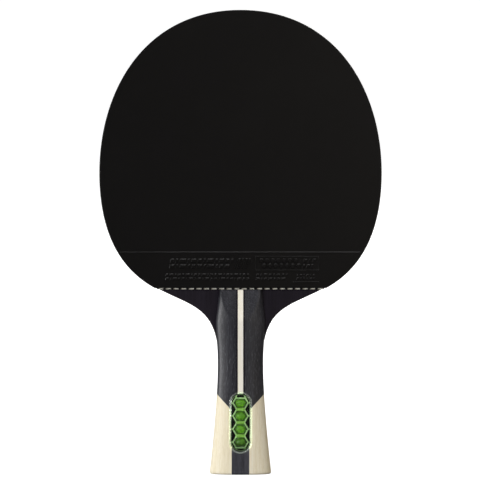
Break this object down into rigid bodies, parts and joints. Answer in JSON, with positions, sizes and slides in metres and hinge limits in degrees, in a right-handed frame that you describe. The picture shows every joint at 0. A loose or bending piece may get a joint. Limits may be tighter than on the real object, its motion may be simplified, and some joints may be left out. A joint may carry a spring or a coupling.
{
  "type": "table tennis paddle",
  "caption": "Table tennis paddle: plywood blade with pimple-in rubber on both sides, laminated flared handle and a honeycomb badge in the front scale.",
  "frame": {"origin": "centre of the flat end of the handle", "axes": "+Z along the handle towards the top of the head, +X across the width, and the black front rubber faces -Y"},
  "size_m": [0.1524, 0.0241, 0.2503],
  "materials": {
    "core_ply": "bare light wood, sanded",
    "inner_ply": "bare veneer, sanded",
    "black_veneer": "dyed black, satin",
    "sponge": "fine cream foam, matte",
    "black_rubber": "smooth matte rubber",
    "red_rubber": "smooth matte rubber",
    "black_tape": "thin woven tape, matte",
    "dark_wood": "grey-black stain on open grain, satin",
    "cream_wood": "pale fine-grained wood, satin",
    "black_plastic": "moulded, matte",
    "light_green_plastic": "moulded, satin",
    "dark_green_plastic": "moulded, satin",
    "clear_resin": "clear domed resin, glossy"
  },
  "bodies": {
    "root": {"blade_core_ply": "core_ply", "blade_inner_ply_front": "inner_ply", "blade_inner_ply_back": "inner_ply", "blade_face_ply_front": "black_veneer", "blade_face_ply_back": "black_veneer", "front_sponge": "sponge", "front_topsheet": "black_rubber", "back_sponge": "sponge", "back_topsheet": "red_rubber", "edge_tape": "black_tape", "front_grip_upper_left": "dark_wood", "front_grip_upper_right": "dark_wood", "front_inlay_stripe": "cream_wood", "front_inlay_line_left": "black_veneer", "front_inlay_line_right": "black_veneer", "front_grip_wing_left": "cream_wood", "front_grip_wing_right": "cream_wood", "front_grip_tail": "dark_wood", "back_grip_upper_left": "dark_wood", "back_grip_upper_right": "dark_wood", "back_inlay_stripe": "cream_wood", "back_inlay_line_left": "black_veneer", "back_inlay_line_right": "black_veneer", "back_grip_wing_left": "cream_wood", "back_grip_wing_right": "cream_wood", "back_grip_tail": "dark_wood", "badge_tray": "black_plastic", "badge_lattice": "light_green_plastic", "badge_cell_1": "dark_green_plastic", "badge_cell_2": "dark_green_plastic", "badge_cell_3": "dark_green_plastic", "badge_cell_4": "dark_green_plastic", "badge_lens": "clear_resin"}
  },
  "joints": []
}
